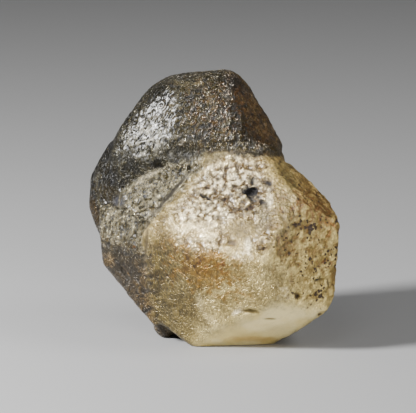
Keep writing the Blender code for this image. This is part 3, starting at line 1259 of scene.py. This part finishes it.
@dataclass(frozen=True)
class Pattern:
    """A fine pattern that the material adds: a node group that gives a height from 0 to 1.

    Share is the painted value that says how much of it there is. Relief is how far its crests
    stand out in mm, and contrast is how much they lighten the colour. Scales are in lumps a mm.
    """

    title: str
    share: str
    relief: float
    contrast: float = 0.0

    def build(self) -> bpy.types.NodeTree:
        """Makes the pattern's node group.

        Returns:
            The node group.
        """
        tree = bpy.data.node_groups.new(self.title, "ShaderNodeTree")
        tree.interface.new_socket(name="Height", in_out="OUTPUT", socket_type="NodeSocketFloat")
        nodes = NodeTree(tree)
        metres = nodes.add("TexCoord").outputs["Object"]
        places = nodes.calculate_places("SCALE", {0: metres, "Scale": 1.0 / MM})
        tree.links.new(self.height(nodes, places), tree.nodes.new("NodeGroupOutput").inputs[0])
        return tree

    def height(self, nodes: NodeTree, places: bpy.types.NodeSocket) -> bpy.types.NodeSocket:
        """Lays out the pattern's height at places in mm, in a way that each pattern has for itself."""
        raise NotImplementedError


@dataclass(frozen=True)
class WovenDashes(Pattern):
    """The narrow crests of a noise that is bent, turned and drawn out."""

    bend: Bend = Bend(0.7, 1.0, 1.6)
    turn: Triple = (0.4, 0.6, 0.9)
    stretch: Triple = (1.0, 1.0, 0.34)
    scale: float = 2.6
    detail: float = 2.0
    crest: float = 0.5
    narrowness: float = 5.5
    sharpness: float = 2.0

    def height(self, nodes: NodeTree, places: bpy.types.NodeSocket) -> bpy.types.NodeSocket:
        """Lays out the dashes.

        Args:
            nodes: The node tree.
            places: The places in mm.

        Returns:
            The height.
        """
        moved = self.bend.apply(nodes, places)
        turned = nodes.add("Mapping", {"Vector": moved, "Rotation": self.turn, "Scale": self.stretch})
        dashes = nodes.noise(turned.outputs[0], self.scale, self.detail).outputs[0]
        away = nodes.calculate("ABSOLUTE", nodes.calculate("SUBTRACT", dashes, self.crest))
        fallen = nodes.calculate("MULTIPLY", away, self.narrowness)
        ridged = nodes.calculate("SUBTRACT", 1.0, fallen, clamp=True)
        return nodes.calculate("POWER", ridged, self.sharpness)


@dataclass(frozen=True)
class SugaryGrains(Pattern):
    """Grains that fall away from their middles, with a finer noise over them."""

    scale: float = 2.1
    fall: float = -0.7
    fine_scale: float = 3.2
    fine_detail: float = 3.0
    fine_roughness: float = 0.6
    fine_gain: float = 1.3

    def height(self, nodes: NodeTree, places: bpy.types.NodeSocket) -> bpy.types.NodeSocket:
        """Lays out the grains.

        Args:
            nodes: The node tree.
            places: The places in mm.

        Returns:
            The height.
        """
        grains = nodes.cells(places, self.scale)
        noise = nodes.noise(places, self.fine_scale, self.fine_detail, self.fine_roughness)
        fallen = nodes.calculate("MULTIPLY", grains, self.fall)
        fine = nodes.calculate("MULTIPLY", noise.outputs[0], self.fine_gain)
        return nodes.calculate("ADD", fallen, fine, clamp=True)


@dataclass(frozen=True)
class Striae(Pattern):
    """Broken, wavy lines in rings round a middle."""

    bend: Bend = Bend(0.35, 4.0, 2.0)
    middle: Triple = (6.15, -8.0, 20.5)
    scale: float = 0.75
    distortion: float = 1.8
    detail: float = 3.0
    detail_scale: float = 1.5
    gap_scale: float = 1.2
    gap_detail: float = 2.0

    def height(self, nodes: NodeTree, places: bpy.types.NodeSocket) -> bpy.types.NodeSocket:
        """Lays out the lines.

        Args:
            nodes: The node tree.
            places: The places in mm.

        Returns:
            The height.
        """
        moved = self.bend.apply(nodes, places)
        inputs = {
            "Vector": nodes.calculate_places("SUBTRACT", {0: moved, 1: self.middle}),
            "Scale": self.scale,
            "Distortion": self.distortion,
            "Detail": self.detail,
            "Detail Scale": self.detail_scale,
        }
        rings = nodes.add("TexWave", inputs, wave_type="RINGS", rings_direction="SPHERICAL")
        gaps = nodes.noise(places, self.gap_scale, self.gap_detail)
        return nodes.calculate("MULTIPLY", rings.outputs["Fac"], gaps.outputs[0])


@dataclass(frozen=True)
class DarkSpecks(Pattern):
    """Uneven dots that crowd together in patches."""

    bend: Bend = Bend(2.4, 2.0, 0.7)
    scale: float = 1.5
    patch_scale: float = 0.35
    patch_detail: float = 4.0
    patch_gain: float = 1.6
    patch_start: float = -0.5
    sharpness: float = 7.0

    def height(self, nodes: NodeTree, places: bpy.types.NodeSocket) -> bpy.types.NodeSocket:
        """Lays out the dots.

        Args:
            nodes: The node tree.
            places: The places in mm.

        Returns:
            The height.
        """
        dots = nodes.cells(self.bend.apply(nodes, places), self.scale)
        patches = nodes.noise(places, self.patch_scale, self.patch_detail).outputs[0]
        reach = nodes.calculate("MULTIPLY_ADD", patches, self.patch_gain, self.patch_start)
        closeness = nodes.calculate("SUBTRACT", reach, dots)
        return nodes.calculate("MULTIPLY", closeness, self.sharpness, clamp=True)


PATTERNS = (
    WovenDashes("Woven dashes", "weave", 0.34, 2.0),
    SugaryGrains("Sugary grains", "sugar", 0.3, 1.6),
    Striae("Striae", "striae", 0.07, 1.3),
)
SPECKS = DarkSpecks("Dark specks", "specks", -0.06)


@dataclass(frozen=True)
class Stone:
    """The crystal's material: it reads what was painted and adds the fine patterns.

    Metal and scattered are the shares of a metallic look and of light scattered below the
    surface, which it reaches scatter_reach mm into. Polish is how much glossier the patterns'
    crests are.
    """

    name: str = "Frosted phenakite"
    ior: float = 1.66
    metal: float = 0.5
    glaze_roughness: float = 0.2
    scattered: float = 0.1
    scatter_radius: Triple = (1.0, 0.75, 0.45)
    scatter_reach: float = 1.2
    polish: float = 0.4
    smoothest: float = 0.13
    pattern_middle: float = 0.42
    speck_colour: Triple = DEEP_BROWN

    def build(self) -> bpy.types.Material:
        """Makes the material.

        Returns:
            The material.
        """
        made = bpy.data.materials.new(self.name)
        made.use_nodes = True
        nodes = NodeTree(made.node_tree)
        height = 0.0
        light = 1.0
        roughness = nodes.painted("gloss")
        for pattern in PATTERNS:
            value = nodes.add("Group", node_tree=pattern.build()).outputs[0]
            share = nodes.painted(pattern.share)
            shared = nodes.calculate("MULTIPLY", value, share)
            height = nodes.calculate("MULTIPLY_ADD", shared, pattern.relief, height)
            above = nodes.calculate("SUBTRACT", value, self.pattern_middle)
            around = nodes.calculate("MULTIPLY", above, share)
            light = nodes.calculate("MULTIPLY_ADD", around, pattern.contrast, light)
            roughness = nodes.calculate("MULTIPLY_ADD", around, -self.polish, roughness)
        dots = nodes.add("Group", node_tree=SPECKS.build()).outputs[0]
        specks = nodes.calculate("MULTIPLY", dots, nodes.painted(SPECKS.share))
        height = nodes.calculate("MULTIPLY_ADD", specks, SPECKS.relief, height)
        lit = nodes.calculate_places("SCALE", {0: nodes.painted("tint", "Color"), "Scale": light})
        bump = nodes.add("Bump", {"Height": height, "Distance": MM})
        inputs = {
            "Base Color": nodes.mix_colours(specks, lit, (*self.speck_colour, 1.0)),
            "Roughness": nodes.calculate("MAXIMUM", roughness, self.smoothest),
            "Metallic": self.metal,
            "IOR": self.ior,
            "Normal": bump.outputs["Normal"],
            "Coat Weight": nodes.painted("glaze"),
            "Coat Roughness": self.glaze_roughness,
            "Subsurface Weight": self.scattered,
            "Subsurface Radius": self.scatter_radius,
            "Subsurface Scale": self.scatter_reach * MM,
        }
        nodes.fill(made.node_tree.nodes["Principled BSDF"], inputs)
        return made


@dataclass(frozen=True)
class Lamp:
    """A soft round light that faces the crystal.

    It stands at a bearing, a slope and a distance from the crystal. Distance and width are in mm.
    """

    bearing: float
    slope: float
    distance: float
    width: float
    watts: float


LAMPS = {
    "key light": Lamp(-67, 30, 300, 56, 4.9),
    "fill light": Lamp(28, 5, 500, 300, 2.5),
    "upper light": Lamp(-12, 48, 400, 150, 0.3),
    "upper right light": Lamp(75, 42, 400, 200, 1.2),
}


@dataclass(frozen=True)
class Studio:
    """The camera at the photograph's angle, a plain floor and soft lights.

    Sizes are in mm, but for those of the view, which are in view units. Greys are from 0 to 1.
    """

    target: Triple = (-0.9, 1.0, 19.85)
    elevation: float = 12.0
    distance: float = 600.0
    frame_width: float = 62.4
    sensor: float = 36.0
    view_width: float = 416.0
    view_height: float = 413.0
    floor_radius: float = 1500.0
    floor_drop: float = 0.05
    floor_corners: int = 96
    floor_grey: float = 0.2
    floor_roughness: float = 0.8
    air_grey: float = 0.08

    def look(self, points: np.ndarray) -> tuple[np.ndarray, np.ndarray]:
        """Where the camera sees places on the surface.

        Args:
            points: The places in mm, one to a row.

        Returns:
            Their places in the view, and the ways from them to the camera.
        """
        away = np.array(Face(0.0, self.elevation).normal())
        right = np.array((1.0, 0.0, 0.0))
        upward = np.cross(away, right)
        rays = points - (np.array(self.target) + away * self.distance)
        zoom = self.view_width * self.distance / self.frame_width / -(rays @ away)
        across = self.view_width / 2 + rays @ right * zoom
        down = self.view_height / 2 - rays @ upward * zoom
        toward = -rays / np.linalg.norm(rays, axis=1)[:, None]
        return np.stack((across, down), axis=1), toward

    def stand(self, bearing: float, slope: float, distance: float) -> dict[str, object]:
        """Finds the place and the turn of something that faces the crystal.

        Args:
            bearing: Its bearing from the crystal.
            slope: Its slope from the crystal.
            distance: Its distance in mm.

        Returns:
            The location and the rotation, as the operators take them.
        """
        away = Face(bearing, slope).normal()
        return {
            "location": Vector(self.target) * MM + away * distance * MM,
            "rotation": (-away).to_track_quat("-Z", "Y").to_euler(),
        }

    def set_camera(self) -> None:
        """Puts the camera where the photograph was taken from."""
        bpy.ops.object.camera_add(**self.stand(0.0, self.elevation, self.distance))
        camera = bpy.context.object
        camera.data.sensor_width = self.sensor
        camera.data.lens = self.sensor * self.distance / self.frame_width
        bpy.context.scene.camera = camera

    def set_lamps(self) -> None:
        """Sets up the soft lights."""
        for name, lamp in LAMPS.items():
            bpy.ops.object.light_add(type="AREA", **self.stand(lamp.bearing, lamp.slope, lamp.distance))
            light = bpy.context.object
            light.name = name
            light.data.shape = "DISK"
            light.data.size = lamp.width * MM
            light.data.energy = lamp.watts

    def set_floor(self) -> None:
        """Lays the plain pale floor, a little below the crystal's flat spot."""
        deselect_all()
        bpy.ops.mesh.primitive_circle_add(
            vertices=self.floor_corners,
            radius=self.floor_radius * MM,
            fill_type="NGON",
            location=(0, 0, -self.floor_drop * MM),
        )
        floor = bpy.context.object
        floor.name = "floor"
        paint = bpy.data.materials.new("Pale floor")
        paint.use_nodes = True
        shader = paint.node_tree.nodes["Principled BSDF"]
        shader.inputs["Base Color"].default_value = (*(self.floor_grey,) * 3, 1.0)
        shader.inputs["Roughness"].default_value = self.floor_roughness
        floor.data.materials.append(paint)

    def set_air(self) -> None:
        """Sets the even grey light that comes from all round."""
        world = bpy.data.worlds.new("Studio")
        world.use_nodes = True
        backdrop = world.node_tree.nodes["Background"]
        backdrop.inputs["Color"].default_value = (*(self.air_grey,) * 3, 1.0)
        bpy.context.scene.world = world

    def build(self) -> None:
        """Sets up the floor, the lights and the camera."""
        self.set_floor()
        self.set_lamps()
        self.set_air()
        self.set_camera()


def main() -> None:
    """Builds the dressed crystal and its studio."""
    logging.basicConfig(level=logging.INFO)
    studio = Studio()
    body = CrystalGroup().build(studio)
    body.data.materials.append(Stone().build())
    make_active(body)
    bpy.ops.object.shade_smooth()
    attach(body, "root")
    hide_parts("phenakite_crystal")
    LOG.info("crystal group dressed")
    studio.build()
    LOG.info("studio ready")


if __name__ == "__main__":
    main()
